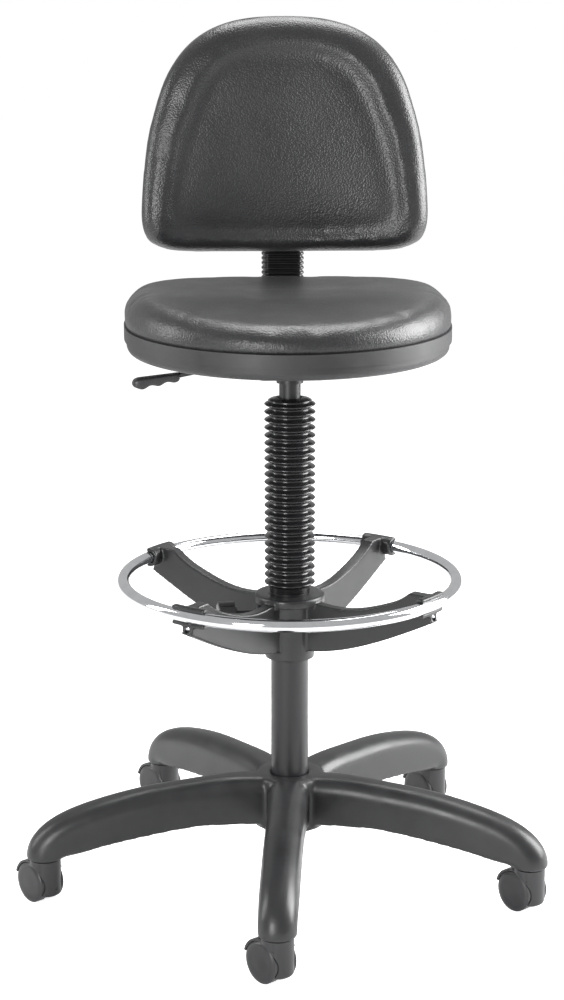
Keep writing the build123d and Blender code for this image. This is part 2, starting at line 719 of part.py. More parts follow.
with BuildPart() as lever_handle:
    grip_slope = (lever_end[1] - grip_start[1]) / (lever_end[0] - grip_start[0])
    grip_length = grip_start[0] - lever_end[0] + 6
    grip_axis = Vector(-1, 0, -grip_slope).normalized()
    grip_plane = Plane(origin=(grip_start[0], lever_y + 12, grip_start[1]), x_dir=grip_axis, z_dir=(0, -1, 0))
    with BuildSketch(grip_plane):
        with BuildLine():
            Polyline((0, 5), (0, -5.5))
            Spline((0, -5.5), (10, -7.5), (20, -4.8), (29, -7.6), (38, -4.8), (46, -7.2), (grip_length - 6, -6.2),
                   (grip_length, 0), tangents=((1, -0.3), (0, 1)))
            Spline((grip_length, 0), (grip_length - 5, 5.2), (0, 5), tangents=((0, 1), (-1, 0)))
        make_face()
    extrude(amount=24)
    with BuildSketch(Plane(origin=(lever_end[0], lever_y, lever_end[1]), x_dir=(0, 1, 0), z_dir=grip_axis)):
        Circle(lever_rod_radius + fit)
    extrude(amount=-100, mode=Mode.SUBTRACT)
save(lever_handle, "lever_handle")

arm_spots = [(sx * arm_hole_x, arm_hole_y + sy * arm_hole_gap / 2) for sx in (-1, 1) for sy in (-1, 1)]
rim_height = 18.0
rim_step = 3.0
skirt_round = 9.0

with BuildPart() as seat_pan:
    with BuildSketch(Plane.XY.offset(pan_skirt_z)):
        add(seat_outline(rim_step))
    extrude(amount=seam_z - 0.5 - pan_skirt_z)
    fillet(seat_pan.edges().group_by(Axis.Z)[0], skirt_round)
    with BuildSketch(Plane.XY.offset(pan_skirt_z - 1)):
        add(seat_outline(rim_step + skirt_round + 2.5))
    extrude(amount=pan_bottom_z - pan_skirt_z + 1, mode=Mode.SUBTRACT)
    with BuildSketch(Plane.XY.offset(seam_z - rim_height)):
        add(seat_outline(0))
    extrude(amount=rim_height - 0.5)
    with BuildSketch(Plane.XY.offset(pan_bottom_z + 4)):
        add(seat_outline(pan_wall + 8))
    extrude(amount=40, mode=Mode.SUBTRACT)
    with BuildSketch(Plane.XY.offset(seam_z - 11)):
        add(seat_outline(pan_wall + rim_step))
    extrude(amount=40, mode=Mode.SUBTRACT)
    with BuildSketch(Plane.XY.offset(pan_bottom_z - 1)):
        with Locations(*bolt_spots):
            Circle(bolt_radius + fit)
        with Locations(*arm_spots):
            Circle(arm_hole_radius)
    extrude(amount=10, mode=Mode.SUBTRACT)
save(seat_pan, "seat_pan")

nut_barrel = 4.5
with BuildPart() as seat_board:
    with BuildSketch(Plane.XY.offset(board_z)):
        add(seat_outline(pan_wall + 8 + 2 * gap))
        with Locations(*bolt_spots, *arm_spots):
            Circle(nut_barrel + fit, mode=Mode.SUBTRACT)
    extrude(amount=board_thick)
save(seat_board, "seat_board")

with BuildPart() as tee_nuts:
    with BuildSketch(Plane.XY.offset(board_z + board_thick + fit)):
        with Locations(*bolt_spots, *arm_spots):
            Circle(9)
            Circle(arm_hole_radius, mode=Mode.SUBTRACT)
    extrude(amount=1.2)
    with BuildSketch(Plane.XY.offset(board_z + 2)):
        with Locations(*bolt_spots, *arm_spots):
            Circle(nut_barrel)
            Circle(arm_hole_radius, mode=Mode.SUBTRACT)
    extrude(amount=board_thick - 1)
save(tee_nuts, "tee_nuts")

with BuildPart() as seat_bolts:
    with BuildSketch(Plane.XY.offset(mechanism_top_z - plate_thick - 4 - fit)):
        with Locations(*bolt_spots):
            RegularPolygon(5, 6)
    extrude(amount=4)
    with BuildSketch(Plane.XY.offset(mechanism_top_z - plate_thick - 4 - fit)):
        with Locations(*bolt_spots):
            Circle(bolt_radius)
    extrude(amount=22)
save(seat_bolts, "seat_bolts")

cushion_bottom_z = board_z + board_thick + 1.5
with BuildPart() as seat_cushion:
    with BuildSketch(Plane.XY.offset(seam_z)):
        add(seat_outline(0))
    extrude(amount=seat_top_z - seam_z)
    fillet(seat_cushion.edges().group_by(Axis.Z)[-1], 24)
    with BuildSketch(Plane.XY.offset(cushion_bottom_z)):
        add(seat_outline(pan_wall + rim_step + gap))
    extrude(amount=seam_z - cushion_bottom_z)
save(seat_cushion, "seat_cushion")


# ---------------------------------------------------------------------------
# Back: sliding bar with its cover, and the back unit
# ---------------------------------------------------------------------------
bend_radius = 24.0
bar_front_y = 40.0
cover_width = 59.0
cover_depth = 27.0
cover_bottom_z = 744.0
cover_top_z = 903.0
cover_pitch = 6.5
bracket_bottom_z = 905.0
bracket_top_z = 985.0
curve_centre_y = back_front_y - back_curve
board_face = back_curve + back_foam + fit
shell_back = board_face + back_shell_thick + back_board_thick
bracket_front_y = curve_centre_y + shell_back + fit
bracket_rear_y = 272.0

with BuildPart() as back_bar:
    with BuildLine():
        FilletPolyline((0, bar_front_y, bar_z), (0, bar_y, bar_z), (0, bar_y, bar_top_z), radius=bend_radius)
    with BuildSketch(Plane.XZ.offset(-bar_front_y)):
        with Locations((0, bar_z)):
            Rectangle(bar_width, bar_thick)
    sweep()
save(back_bar, "back_bar")

with BuildPart() as back_bar_cover:
    with BuildSketch(Plane.XY.offset(cover_bottom_z)):
        with Locations((0, bar_y)):
            RectangleRounded(cover_width - 5, cover_depth - 5, 8)
    extrude(amount=cover_top_z - cover_bottom_z)
    pleats = int((cover_top_z - cover_bottom_z) / cover_pitch)
    for pleat in range(pleats):
        with BuildSketch(Plane.XY.offset(cover_bottom_z + (pleat + 0.25) * cover_pitch)):
            with Locations((0, bar_y)):
                RectangleRounded(cover_width, cover_depth, 10)
        extrude(amount=cover_pitch / 2)
    with BuildSketch(Plane.XY.offset(cover_bottom_z)):
        with Locations((0, bar_y)):
            Rectangle(bar_width + 2 * fit, bar_thick + 2 * fit)
    extrude(amount=cover_top_z - cover_bottom_z, mode=Mode.SUBTRACT)
save(back_bar_cover, "back_bar_cover")

star_knob("back_depth_knob", Plane(origin=(0, mech_rear_y - 40, bar_z - bar_thick / 2 - gap), z_dir=(0, 0, -1)),
          clamp_radius, 14, 16, 16)


def back_outline(inset):
    """Face of the backrest in local x and height: arched top, rounded lower corners."""
    wide = back_half_width - inset
    low = back_bottom_z + inset
    high = back_top_z - inset
    shares = [(0, 0), (0.775, 0.016), (0.965, 0.078), (1, 0.178), (0.957, 0.469), (0.805, 0.767),
              (0.66, 0.8835), (0.465, 0.958), (0, 1)]
    half = [(wide * across, low + (high - low) * up) for across, up in shares]
    with BuildSketch() as face:
        with BuildLine():
            Spline(*half, *[(-x, z) for x, z in reversed(half[1:-1])], periodic=True)
        make_face()
    return face.sketch


def back_slab(inset, inner, outer):
    """Backrest layer between two radii of the back's sideways curve."""
    with BuildPart() as slab:
        with BuildSketch(Plane.XZ):
            add(back_outline(inset))
        extrude(amount=-300)
        with BuildSketch(Plane.XY.offset(back_bottom_z - 20)):
            with Locations((0, curve_centre_y)):
                Circle(outer)
                Circle(inner, mode=Mode.SUBTRACT)
        extrude(amount=back_top_z - back_bottom_z + 40, mode=Mode.INTERSECT)
    return slab.part


back_screw_spots = [(sx * 33, bracket_bottom_z + level) for sx in (-1, 1) for level in (12, 68)]
back_screw_radius = 2.5

with BuildPart() as back_cushion:
    add(back_slab(0, back_curve, back_curve + back_foam))
save(back_cushion, "back_cushion")

with BuildPart() as back_board:
    add(back_slab(12, board_face, board_face + back_board_thick))
    with BuildSketch(Plane.XZ):
        with Locations(*back_screw_spots):
            Circle(back_screw_radius + fit)
    extrude(amount=-300, mode=Mode.SUBTRACT)
save(back_board, "back_board")

with BuildPart() as back_shell:
    add(back_slab(3, board_face + 1, shell_back))
    add(back_slab(10.8, board_face - 2, board_face + back_board_thick + fit), mode=Mode.SUBTRACT)
    with BuildSketch(Plane.XZ):
        with Locations(*back_screw_spots):
            Circle(back_screw_radius + fit)
    extrude(amount=-300, mode=Mode.SUBTRACT)
save(back_shell, "back_shell")

with BuildPart() as back_bracket:
    with BuildSketch(Plane.XZ.offset(-bracket_front_y)):
        with Locations((0, (bracket_bottom_z + bracket_top_z) / 2)):
            RectangleRounded(84, bracket_top_z - bracket_bottom_z, 10)
    extrude(amount=-(bracket_rear_y - bracket_front_y))
    fillet(back_bracket.edges().group_by(Axis.Y)[-1], 5)
    with BuildSketch(Plane.XY.offset(bracket_bottom_z)):
        with Locations((0, bar_y)):
            Rectangle(bar_width + 2 * fit, bar_thick + 2 * fit)
    extrude(amount=100, mode=Mode.SUBTRACT)
    with BuildSketch(Plane.XZ.offset(-bar_y)):
        with Locations((0, (bracket_bottom_z + bracket_top_z) / 2)):
            Circle(clamp_radius + fit)
    extrude(amount=-100, mode=Mode.SUBTRACT)
    with BuildSketch(Plane.XZ):
        with Locations(*back_screw_spots):
            Circle(back_screw_radius + fit)
    extrude(amount=-400, mode=Mode.SUBTRACT)
    with BuildSketch(Plane.XZ.offset(-bracket_rear_y + 18)):
        with Locations(*back_screw_spots):
            Circle(back_screw_radius + 2.5)
    extrude(amount=-40, mode=Mode.SUBTRACT)
save(back_bracket, "back_bracket")

with BuildPart() as back_screws:
    with BuildSketch(Plane.XZ.offset(-bracket_rear_y + 18 - fit)):
        with Locations(*back_screw_spots):
            Circle(back_screw_radius)
    extrude(amount=45)
    with BuildSketch(Plane.XZ.offset(-bracket_rear_y + 18 - fit)):
        with Locations(*back_screw_spots):
            Circle(back_screw_radius + 2)
    extrude(amount=-3)
save(back_screws, "back_screws")

knob_height = (bracket_bottom_z + bracket_top_z) / 2
star_knob("back_height_knob", Plane(origin=(0, bar_y + bar_thick / 2 + gap, knob_height), z_dir=(0, 1, 0)),
          clamp_radius, bracket_rear_y - bar_y - bar_thick / 2 + 3, 17, 18)
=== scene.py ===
import json
import math

import bpy
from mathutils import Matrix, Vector


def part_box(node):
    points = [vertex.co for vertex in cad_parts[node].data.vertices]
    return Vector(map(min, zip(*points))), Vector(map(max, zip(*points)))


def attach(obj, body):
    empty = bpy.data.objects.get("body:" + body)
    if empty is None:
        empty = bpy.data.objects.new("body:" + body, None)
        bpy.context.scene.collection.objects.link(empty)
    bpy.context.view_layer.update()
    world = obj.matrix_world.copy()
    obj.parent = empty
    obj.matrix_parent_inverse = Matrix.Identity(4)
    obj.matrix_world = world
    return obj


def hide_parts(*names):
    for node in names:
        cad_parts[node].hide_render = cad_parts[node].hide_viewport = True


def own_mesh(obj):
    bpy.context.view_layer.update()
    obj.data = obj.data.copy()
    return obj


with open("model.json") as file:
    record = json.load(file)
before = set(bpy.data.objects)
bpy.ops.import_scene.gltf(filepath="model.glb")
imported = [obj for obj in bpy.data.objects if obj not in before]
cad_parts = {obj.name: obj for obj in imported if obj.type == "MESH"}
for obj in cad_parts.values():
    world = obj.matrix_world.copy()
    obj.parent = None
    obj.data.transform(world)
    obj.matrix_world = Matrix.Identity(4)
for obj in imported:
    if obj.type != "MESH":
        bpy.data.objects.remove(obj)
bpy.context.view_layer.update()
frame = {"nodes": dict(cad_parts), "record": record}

record = frame["record"]
nodes = frame["nodes"]
mm = 0.001
tau = 2 * math.pi


# ---------------------------------------------------------------- materials

def new_material(name, colour, roughness, metallic=0.0):
    """A node material and its shader, with the values that are the same all over it."""
    mat = bpy.data.materials.new(name)
    mat.use_nodes = True
    shader = mat.node_tree.nodes["Principled BSDF"]
    shader.inputs["Base Color"].default_value = (*colour, 1)
    shader.inputs["Roughness"].default_value = roughness
    shader.inputs["Metallic"].default_value = metallic
    return mat, shader


def add_node(mat, kind, **values):
    """A shader node with its sockets or properties set by name."""
    node = mat.node_tree.nodes.new(kind)
    for key, value in values.items():
        if hasattr(node, key):
            setattr(node, key, value)
        else:
            node.inputs[key.replace("_", " ").title()].default_value = value
    return node


def join(mat, start, end):
    mat.node_tree.links.new(start, end)


def place(mat, stretch=(1, 1, 1)):
    """Object coordinates, stretched along the axes."""
    coords = add_node(mat, "ShaderNodeTexCoord")
    mapping = add_node(mat, "ShaderNodeMapping")
    mapping.inputs["Scale"].default_value = stretch
    join(mat, coords.outputs["Object"], mapping.inputs["Vector"])
    return mapping.outputs["Vector"]


def cloud(mat, vector, scale, detail=4.0, rough=0.55):
    """Noise with features about 1/scale metres across."""
    tex = add_node(mat, "ShaderNodeTexNoise", scale=scale, detail=detail, roughness=rough)
    join(mat, vector, tex.inputs["Vector"])
    return tex.outputs["Fac"]


def spread(mat, value, low, high, from_low=0.3, from_high=0.7):
    """The value carried from its own range to low..high."""
    ranged = add_node(mat, "ShaderNodeMapRange")
    ranged.inputs["From Min"].default_value = from_low
    ranged.inputs["From Max"].default_value = from_high
    ranged.inputs["To Min"].default_value = low
    ranged.inputs["To Max"].default_value = high
    join(mat, value, ranged.inputs["Value"])
    return ranged.outputs["Result"]


def tint(mat, value, dark, light):
    """A colour between dark and light."""
    mix = add_node(mat, "ShaderNodeMix", data_type="RGBA")
    mix.inputs["A"].default_value = (*dark, 1)
    mix.inputs["B"].default_value = (*light, 1)
    join(mat, value, mix.inputs["Factor"])
    return mix


def relief(mat, height, strength, distance, below=None):
    """A bump from a height field, over another bump where one is given."""
    bump = add_node(mat, "ShaderNodeBump")
    bump.inputs["Strength"].default_value = strength
    bump.inputs["Distance"].default_value = distance
    join(mat, height, bump.inputs["Height"])
    if below is not None:
        join(mat, below, bump.inputs["Normal"])
    return bump.outputs["Normal"]


def scaled(colour, factor):
    return tuple(part * factor for part in colour)


def edge_wear(mat, plain, worn):
    """Paler where the surface turns sharply outwards, as handled edges are."""
    geometry = add_node(mat, "ShaderNodeNewGeometry")
    worn_amount = spread(mat, geometry.outputs["Pointiness"], 0.0, 1.0, 0.53, 0.66)
    mix = add_node(mat, "ShaderNodeMix", data_type="RGBA")
    join(mat, worn_amount, mix.inputs["Factor"])
    join(mat, plain, mix.inputs["A"])
    mix.inputs["B"].default_value = (*worn, 1)
    return mix.outputs["Result"]


def moulded(name, colour, roughness, grain=900.0, depth=0.35, flow=30.0, wear=1.6, gloss=0.5):
    """Moulded plastic: fine spark texture, slow flow marks, and edges rubbed paler."""
    mat, shader = new_material(name, colour, roughness)
    shader.inputs["Specular IOR Level"].default_value = gloss
    here = place(mat)
    slow = cloud(mat, here, flow, 3.0)
    fine = cloud(mat, here, grain, 2.0, 0.7)
    base = tint(mat, spread(mat, slow, 0.0, 1.0), scaled(colour, 0.86), scaled(colour, 1.16))
    join(mat, edge_wear(mat, base.outputs["Result"], scaled(colour, wear)), shader.inputs["Base Color"])
    join(mat, spread(mat, slow, roughness - 0.06, roughness + 0.07), shader.inputs["Roughness"])
    under = relief(mat, slow, 0.12, 0.8 * mm)
    join(mat, relief(mat, fine, depth, 0.12 * mm, under), shader.inputs["Normal"])
    return mat


def painted(name, colour, roughness):
    """Powder-coated steel: orange peel and a few dull rubbed patches."""
    mat, shader = new_material(name, colour, roughness)
    here = place(mat)
    peel = cloud(mat, here, 420.0, 2.0, 0.5)
    rubbed = cloud(mat, here, 22.0, 5.0, 0.6)
    base = tint(mat, spread(mat, rubbed, 0.0, 1.0), scaled(colour, 0.85), scaled(colour, 1.3))
    join(mat, edge_wear(mat, base.outputs["Result"], scaled(colour, 2.4)), shader.inputs["Base Color"])
    join(mat, spread(mat, rubbed, roughness - 0.07, roughness + 0.1), shader.inputs["Roughness"])
    join(mat, relief(mat, peel, 0.25, 0.15 * mm), shader.inputs["Normal"])
    return mat


def bare_metal(name, colour, roughness, brush=(1, 1, 1), streaks=300.0, depth=0.08):
    """Plated or ground steel: brushed streaks, faint smears and a little haze."""
    mat, shader = new_material(name, colour, roughness, 1.0)
    streaky = cloud(mat, place(mat, brush), streaks, 3.0)
    smears = cloud(mat, place(mat), 45.0, 6.0, 0.65)
    base = tint(mat, spread(mat, smears, 0.0, 1.0), scaled(colour, 0.93), scaled(colour, 1.04))
    join(mat, base.outputs["Result"], shader.inputs["Base Color"])
    join(mat, spread(mat, smears, max(roughness - 0.02, 0.02), roughness + 0.06),
         shader.inputs["Roughness"])
    join(mat, relief(mat, streaky, depth, 0.05 * mm), shader.inputs["Normal"])
    return mat


def leathercloth(name, colour, roughness):
    """Vinyl upholstery: rounded pebbles about two millimetres across, the valleys between them painted darker
    as shade, and soft creases.
    """
    mat, shader = new_material(name, colour, roughness)
    shader.inputs["Specular IOR Level"].default_value = 0.55
    shader.inputs["Sheen Weight"].default_value = 0.04
    shader.inputs["Sheen Roughness"].default_value = 0.5
    here = place(mat)
    wander = add_node(mat, "ShaderNodeTexNoise", scale=260.0, detail=2.0)
    join(mat, here, wander.inputs["Vector"])
    bent = add_node(mat, "ShaderNodeMix", data_type="VECTOR")
    bent.inputs["Factor"].default_value = 0.0016
    join(mat, here, bent.inputs["A"])
    join(mat, wander.outputs["Color"], bent.inputs["B"])
    pebble = add_node(mat, "ShaderNodeTexVoronoi", feature="SMOOTH_F1")
    pebble.inputs["Scale"].default_value = 430.0
    pebble.inputs["Smoothness"].default_value = 0.55
    join(mat, bent.outputs["Result"], pebble.inputs["Vector"])
    rounded = spread(mat, pebble.outputs["Distance"], 1.0, 0.0, 0.1, 0.75)
    slow = cloud(mat, here, 14.0, 4.0)
    creases = cloud(mat, here, 90.0, 5.0, 0.6)
    patches = tint(mat, spread(mat, slow, 0.0, 1.0), scaled(colour, 0.88), scaled(colour, 1.14))
    # painted shade: the valleys between the pebbles darkened to 0.7 of the colour, as shade in the recesses
    valley_shade = add_node(mat, "ShaderNodeMix", data_type="RGBA")
    valley_shade.inputs["A"].default_value = (*scaled(colour, 0.7), 1)
    join(mat, rounded, valley_shade.inputs["Factor"])
    join(mat, patches.outputs["Result"], valley_shade.inputs["B"])
    join(mat, valley_shade.outputs["Result"], shader.inputs["Base Color"])
    join(mat, spread(mat, slow, roughness - 0.05, roughness + 0.06), shader.inputs["Roughness"])
    under = relief(mat, creases, 0.1, 0.6 * mm)
    join(mat, relief(mat, rounded, 0.75, 0.34 * mm, under), shader.inputs["Normal"])
    return mat


def rubbery(name, colour):
    """Dull black rubber with a powdery bloom."""
    mat, shader = new_material(name, colour, 0.75)
    here = place(mat)
    bloom = cloud(mat, here, 160.0, 6.0, 0.7)
    base = tint(mat, spread(mat, bloom, 0.0, 1.0), scaled(colour, 0.8), scaled(colour, 1.5))
    join(mat, base.outputs["Result"], shader.inputs["Base Color"])
    join(mat, relief(mat, bloom, 0.3, 0.2 * mm), shader.inputs["Normal"])
    return mat


def layered_wood(name, colour):
    """Plywood: thin plies seen on the edges, long grain on the faces."""
    mat, shader = new_material(name, colour, 0.62)
    grain = cloud(mat, place(mat, (1, 14, 14)), 18.0, 8.0, 0.6)
    plies = add_node(mat, "ShaderNodeTexWave", bands_direction="Z", wave_profile="SIN")
    plies.inputs["Scale"].default_value = 160.0
    plies.inputs["Distortion"].default_value = 0.6
    join(mat, place(mat), plies.inputs["Vector"])
    base = tint(mat, spread(mat, grain, 0.0, 1.0), scaled(colour, 0.6), scaled(colour, 1.15))
    layers = add_node(mat, "ShaderNodeMix", data_type="RGBA", blend_type="MULTIPLY")
    layers.inputs["Factor"].default_value = 0.25
    join(mat, base.outputs["Result"], layers.inputs["A"])
    join(mat, plies.outputs["Color"], layers.inputs["B"])
    join(mat, layers.outputs["Result"], shader.inputs["Base Color"])
    join(mat, relief(mat, grain, 0.3, 0.2 * mm), shader.inputs["Normal"])
    return mat


charcoal = (0.022, 0.0225, 0.0235)
black = (0.011, 0.011, 0.012)

finishes = {
    "nylon_base": moulded("base_nylon", charcoal, 0.36, grain=700.0, depth=0.3),
    "black_steel": painted("black_paint", (0.010, 0.010, 0.011), 0.34),
    "bush_plastic": moulded("bush_plastic", (0.55, 0.55, 0.52), 0.4, depth=0.15, wear=1.1),
    "bright_steel": bare_metal("ground_steel", (0.62, 0.63, 0.65), 0.2, (1, 1, 8)),
    "rubber": rubbery("stop_rubber", black),
    "bellows_plastic": moulded("bellows_gloss", black, 0.2, grain=300.0, depth=0.08, flow=60.0, gloss=0.6),
    "chrome": bare_metal("chrome_plate", (0.83, 0.84, 0.86), 0.05, (1, 1, 1), 120.0, 0.03),
    "spider_plastic": moulded("spider_nylon", charcoal, 0.34, grain=700.0, depth=0.3),
    "knob_plastic": moulded("knob_plastic", (0.026, 0.026, 0.028), 0.36, grain=1200.0, depth=0.3),
    "vinyl": leathercloth("pebbled_vinyl", (0.029, 0.0295, 0.031), 0.36),
    "shell_plastic": moulded("shell_plastic", (0.031, 0.031, 0.0325), 0.52, grain=1100.0, depth=0.5),
    "plywood": layered_wood("plywood", (0.42, 0.27, 0.14)),
    "caster_plastic": moulded("caster_nylon", (0.021, 0.021, 0.0225), 0.33, grain=1100.0, depth=0.25),
    "wheel_nylon": moulded("wheel_nylon", (0.026, 0.026, 0.028), 0.36, grain=1200.0, depth=0.3),
}


def finish_piece(obj, slot_name, body=None, replaced=()):
    """The slot's material on a piece, hung under its body's empty where it isn't a CAD node, with the CAD
    nodes it replaces hidden.
    """
    obj.data.materials.clear()
    obj.data.materials.append(finishes[slot_name])
    if body:
        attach(obj, body)
    if replaced:
        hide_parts(*replaced)
    return obj


for part in record["subparts"]:
    finish_piece(nodes[part["node"]], part["material_slot"])


# ---------------------------------------------------------------- mesh tools

def mesh_object(name, points, faces, smooth=True):
    """A mesh piece from its points and faces, in the scene."""
    data = bpy.data.meshes.new(name)
    data.from_pydata([tuple(p) for p in points], [], faces)
    data.validate()
    if smooth:
        data.polygons.foreach_set("use_smooth", [True] * len(data.polygons))
    obj = bpy.data.objects.new(name, data)
    bpy.context.scene.collection.objects.link(obj)
    return obj


def skinned_rings(name, rings, loop=False):
    """A closed piece skinned over rings of points, all of the same count: capped, or joined end to end."""
    count = len(rings[0])
    points = [p for ring in rings for p in ring]
    faces = []
    spans = len(rings) if loop else len(rings) - 1
    for level in range(spans):
        low = level * count
        high = (level + 1) % len(rings) * count
        for i in range(count):
            j = (i + 1) % count
            faces.append((low + i, low + j, high + j, high + i))
    if not loop:
        faces.append(tuple(reversed(range(count))))
        faces.append(tuple(range(len(points) - count, len(points))))
    return mesh_object(name, points, faces)


def run_modifier(obj, kind, **values):
    """Adds a modifier, sets it and applies it to the mesh."""
    modifier = obj.modifiers.new(kind.lower(), kind)
    for key, value in values.items():
        setattr(modifier, key, value)
    bake(obj)


def bake(obj):
    """The mesh with all its modifiers applied."""
    graph = bpy.context.evaluated_depsgraph_get()
    made = bpy.data.meshes.new_from_object(obj.evaluated_get(graph))
    obj.modifiers.clear()
    old = obj.data
    obj.data = made
    bpy.data.meshes.remove(old)
    obj.data.polygons.foreach_set("use_smooth", [True] * len(obj.data.polygons))


def round_edges(name, width):
    """Small rounded edges on a CAD node, as a moulding or casting has."""
    bevel = nodes[name].modifiers.new("edge", "BEVEL")
    bevel.width = width
    bevel.segments = 2
    bevel.limit_method = "ANGLE"
    bevel.angle_limit = math.radians(35)


cloth_frames = 20
cloth_pressure = 4.0


def swell(obj, cap, voxel=5 * mm):
    """Air pressure under a cloth skin, then the skin's movement held to the cap."""
    run_modifier(obj, "REMESH", mode="VOXEL", voxel_size=voxel)
    run_modifier(obj, "SMOOTH", factor=0.5, iterations=4)
    rest = [v.co.copy() for v in obj.data.vertices]
    cloth = obj.modifiers.new("skin", "CLOTH")
    settings = cloth.settings
    settings.quality = 5
    settings.mass = 0.4
    settings.tension_stiffness = 25
    settings.compression_stiffness = 25
    settings.shear_stiffness = 10
    settings.bending_stiffness = 3
    settings.use_pressure = True
    settings.uniform_pressure_force = cloth_pressure
    settings.effector_weights.gravity = 0
    scene = bpy.context.scene
    cloth.point_cache.frame_start = 1
    cloth.point_cache.frame_end = cloth_frames
    for step in range(1, cloth_frames + 1):
        scene.frame_set(step)
    bake(obj)
    scene.frame_set(1)
    for vertex, start in zip(obj.data.vertices, rest):
        move = vertex.co - start
        if move.length > cap:
            vertex.co = start + move * (cap / move.length)
    run_modifier(obj, "SMOOTH", factor=0.5, iterations=8)
    return obj


def subdivide(obj):
    run_modifier(obj, "SUBSURF", levels=1, render_levels=1)


def ease(value):
    """Smooth rise from 0 to 1."""
    t = min(max(value, 0.0), 1.0)
    return t * t * (3 - 2 * t)


# ---------------------------------------------------------------- the seat cushion

seat_low, seat_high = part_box("seat_cushion")
pan_top_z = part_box("seat_pan")[1].z
seat_seam_z = pan_top_z + 0.5 * mm
seat_half = (seat_high.x - seat_low.x) / 2
seat_widest_y = 60 * mm
seat_front = seat_widest_y - seat_low.y
seat_rear = seat_high.y - seat_widest_y
rear_squareness = 3.2
seat_steps = 144
seat_foot_z = seat_seam_z - 5 * mm
seat_edge_z = seat_seam_z + 5 * mm
seat_edge_inset = 0.2 * mm
seat_side_roll = 27 * mm
seat_roll_steps = 12
seat_crown_z = seat_high.z + 1.2 * mm
seat_dish = 3.0 * mm
seat_dish_y = 110 * mm
seat_front_drop = 14.0 * mm


def seat_ring(inset, height):
    """A ring round the seat, set in from its outline and at a height that may change round it."""
    ring = []
    for step in range(seat_steps):
        turn = tau * step / seat_steps
        c = math.cos(turn)
        s = math.sin(turn)
        if s >= 0:
            x = (seat_half - inset) * math.copysign(abs(c) ** (2 / rear_squareness), c)
            y = seat_widest_y + (seat_rear - inset) * s ** (2 / rear_squareness)
        else:
            x = (seat_half - inset) * c
            y = seat_widest_y + (seat_front - inset) * s
        ring.append((x, y, height(x, y)))
    return ring


def flat(z):
    """A height that is the same all round a ring."""
    return lambda x, y: z


def seat_crown(x, y):
    """Top of the seat: a shallow dish behind a soft shoulder, with the front edge rolled down."""
    front_roll = ease((20 * mm - y) / (230 * mm))
    dish = math.exp(-((x / (110 * mm)) ** 2) - ((y - seat_dish_y) / (60 * mm)) ** 2)
    return seat_crown_z - seat_dish * dish - seat_front_drop * front_roll


def seat_shell():
    """The cushion's closed skin, from its foot inside the pan over the edge roll to the crown."""
    rings = [seat_ring(inset, flat(seat_foot_z)) for inset in (90 * mm, 20 * mm, 1.8 * mm)]
    rings.append(seat_ring(0.9 * mm, flat(seat_seam_z)))
    rings.append(seat_ring(seat_edge_inset, flat(seat_edge_z)))
    for step in range(1, seat_roll_steps + 1):
        turn = math.radians(90 * step / seat_roll_steps)
        inset = seat_edge_inset + seat_side_roll * (1 - math.cos(turn))
        rise = math.sin(turn)
        rings.append(seat_ring(inset, lambda x, y: seat_edge_z + rise * (seat_crown(x, y) - seat_edge_z)))
    for share in (0.78, 0.64, 0.5, 0.36, 0.22, 0.1):
        rings.append(seat_ring(seat_rear * (1 - share), seat_crown))
    return skinned_rings("seat_pad", rings)


swell_cap = 2.2 * mm
seat_pad = swell(seat_shell(), swell_cap, 4 * mm)
subdivide(seat_pad)


# ---------------------------------------------------------------- the back cushion

back_low, back_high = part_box("back_cushion")
back_half = (back_high.x - back_low.x) / 2
back_tall = back_high.z - back_low.z
back_front_y = 160 * mm
back_curve = 630 * mm
back_foam = 45 * mm
back_roll = 27 * mm
back_roll_steps = 14
curve_y = back_front_y - back_curve
rim_steps = 144
curve_steps = 24
middle_edge = 0.7


def back_half_outline():
    """Half of the backrest's face, bottom centre to top centre, as local x and height."""
    shares = [(0, 0), (0.45, 0.003), (0.775, 0.016), (0.94, 0.055), (0.975, 0.09), (1, 0.178), (0.957, 0.469),
              (0.888, 0.628), (0.805, 0.767), (0.66, 0.8835), (0.465, 0.958), (0.24, 0.99), (0, 1)]
    return [(back_half * across, back_low.z + back_tall * up) for across, up in shares]


def back_rim():
    """Evenly spaced points round the backrest's face, on a smooth curve."""
    half = back_half_outline()
    whole = half + [(-x, z) for x, z in reversed(half[1:-1])]
    dense = []
    count = len(whole)
    for i in range(count):
        p0, p1, p2, p3 = (Vector(whole[(i + k) % count]) for k in (-1, 0, 1, 2))
        for step in range(curve_steps):
            t = step / curve_steps
            dense.append(0.5 * ((2 * p1) + (p2 - p0) * t + (2 * p0 - 5 * p1 + 4 * p2 - p3) * t * t
                                + (3 * p1 - p0 - 3 * p2 + p3) * t * t * t))
    lengths = [0.0]
    for a, b in zip(dense, dense[1:] + dense[:1]):
        lengths.append(lengths[-1] + (b - a).length)
    rim = []
    spot = 0
    for step in range(rim_steps):
        goal = lengths[-1] * step / rim_steps
        while lengths[spot + 1] < goal:
            spot += 1
        share = (goal - lengths[spot]) / (lengths[spot + 1] - lengths[spot])
        rim.append(dense[spot].lerp(dense[(spot + 1) % len(dense)], share))
    return rim


rim_points = back_rim()
back_middle = Vector((0, back_low.z + 0.44 * back_tall))


def back_point(flat_point, depth):
    """A point of the face, carried onto the backrest's sideways curve at a depth behind the front."""
    x, z = flat_point
    radius = back_curve + depth
    return Vector((x, curve_y + math.sqrt(max(radius * radius - x * x, 0.0)), z))


def groove_share(rim_point):
    """How far out the groove round the middle lies: further in at the shoulders, so the middle is an arch."""
    up = (rim_point.y - back_low.z) / back_tall
    return 0.775 - 0.085 * ease(up / 0.75) + 0.03 * ease((up - 0.8) / 0.2)


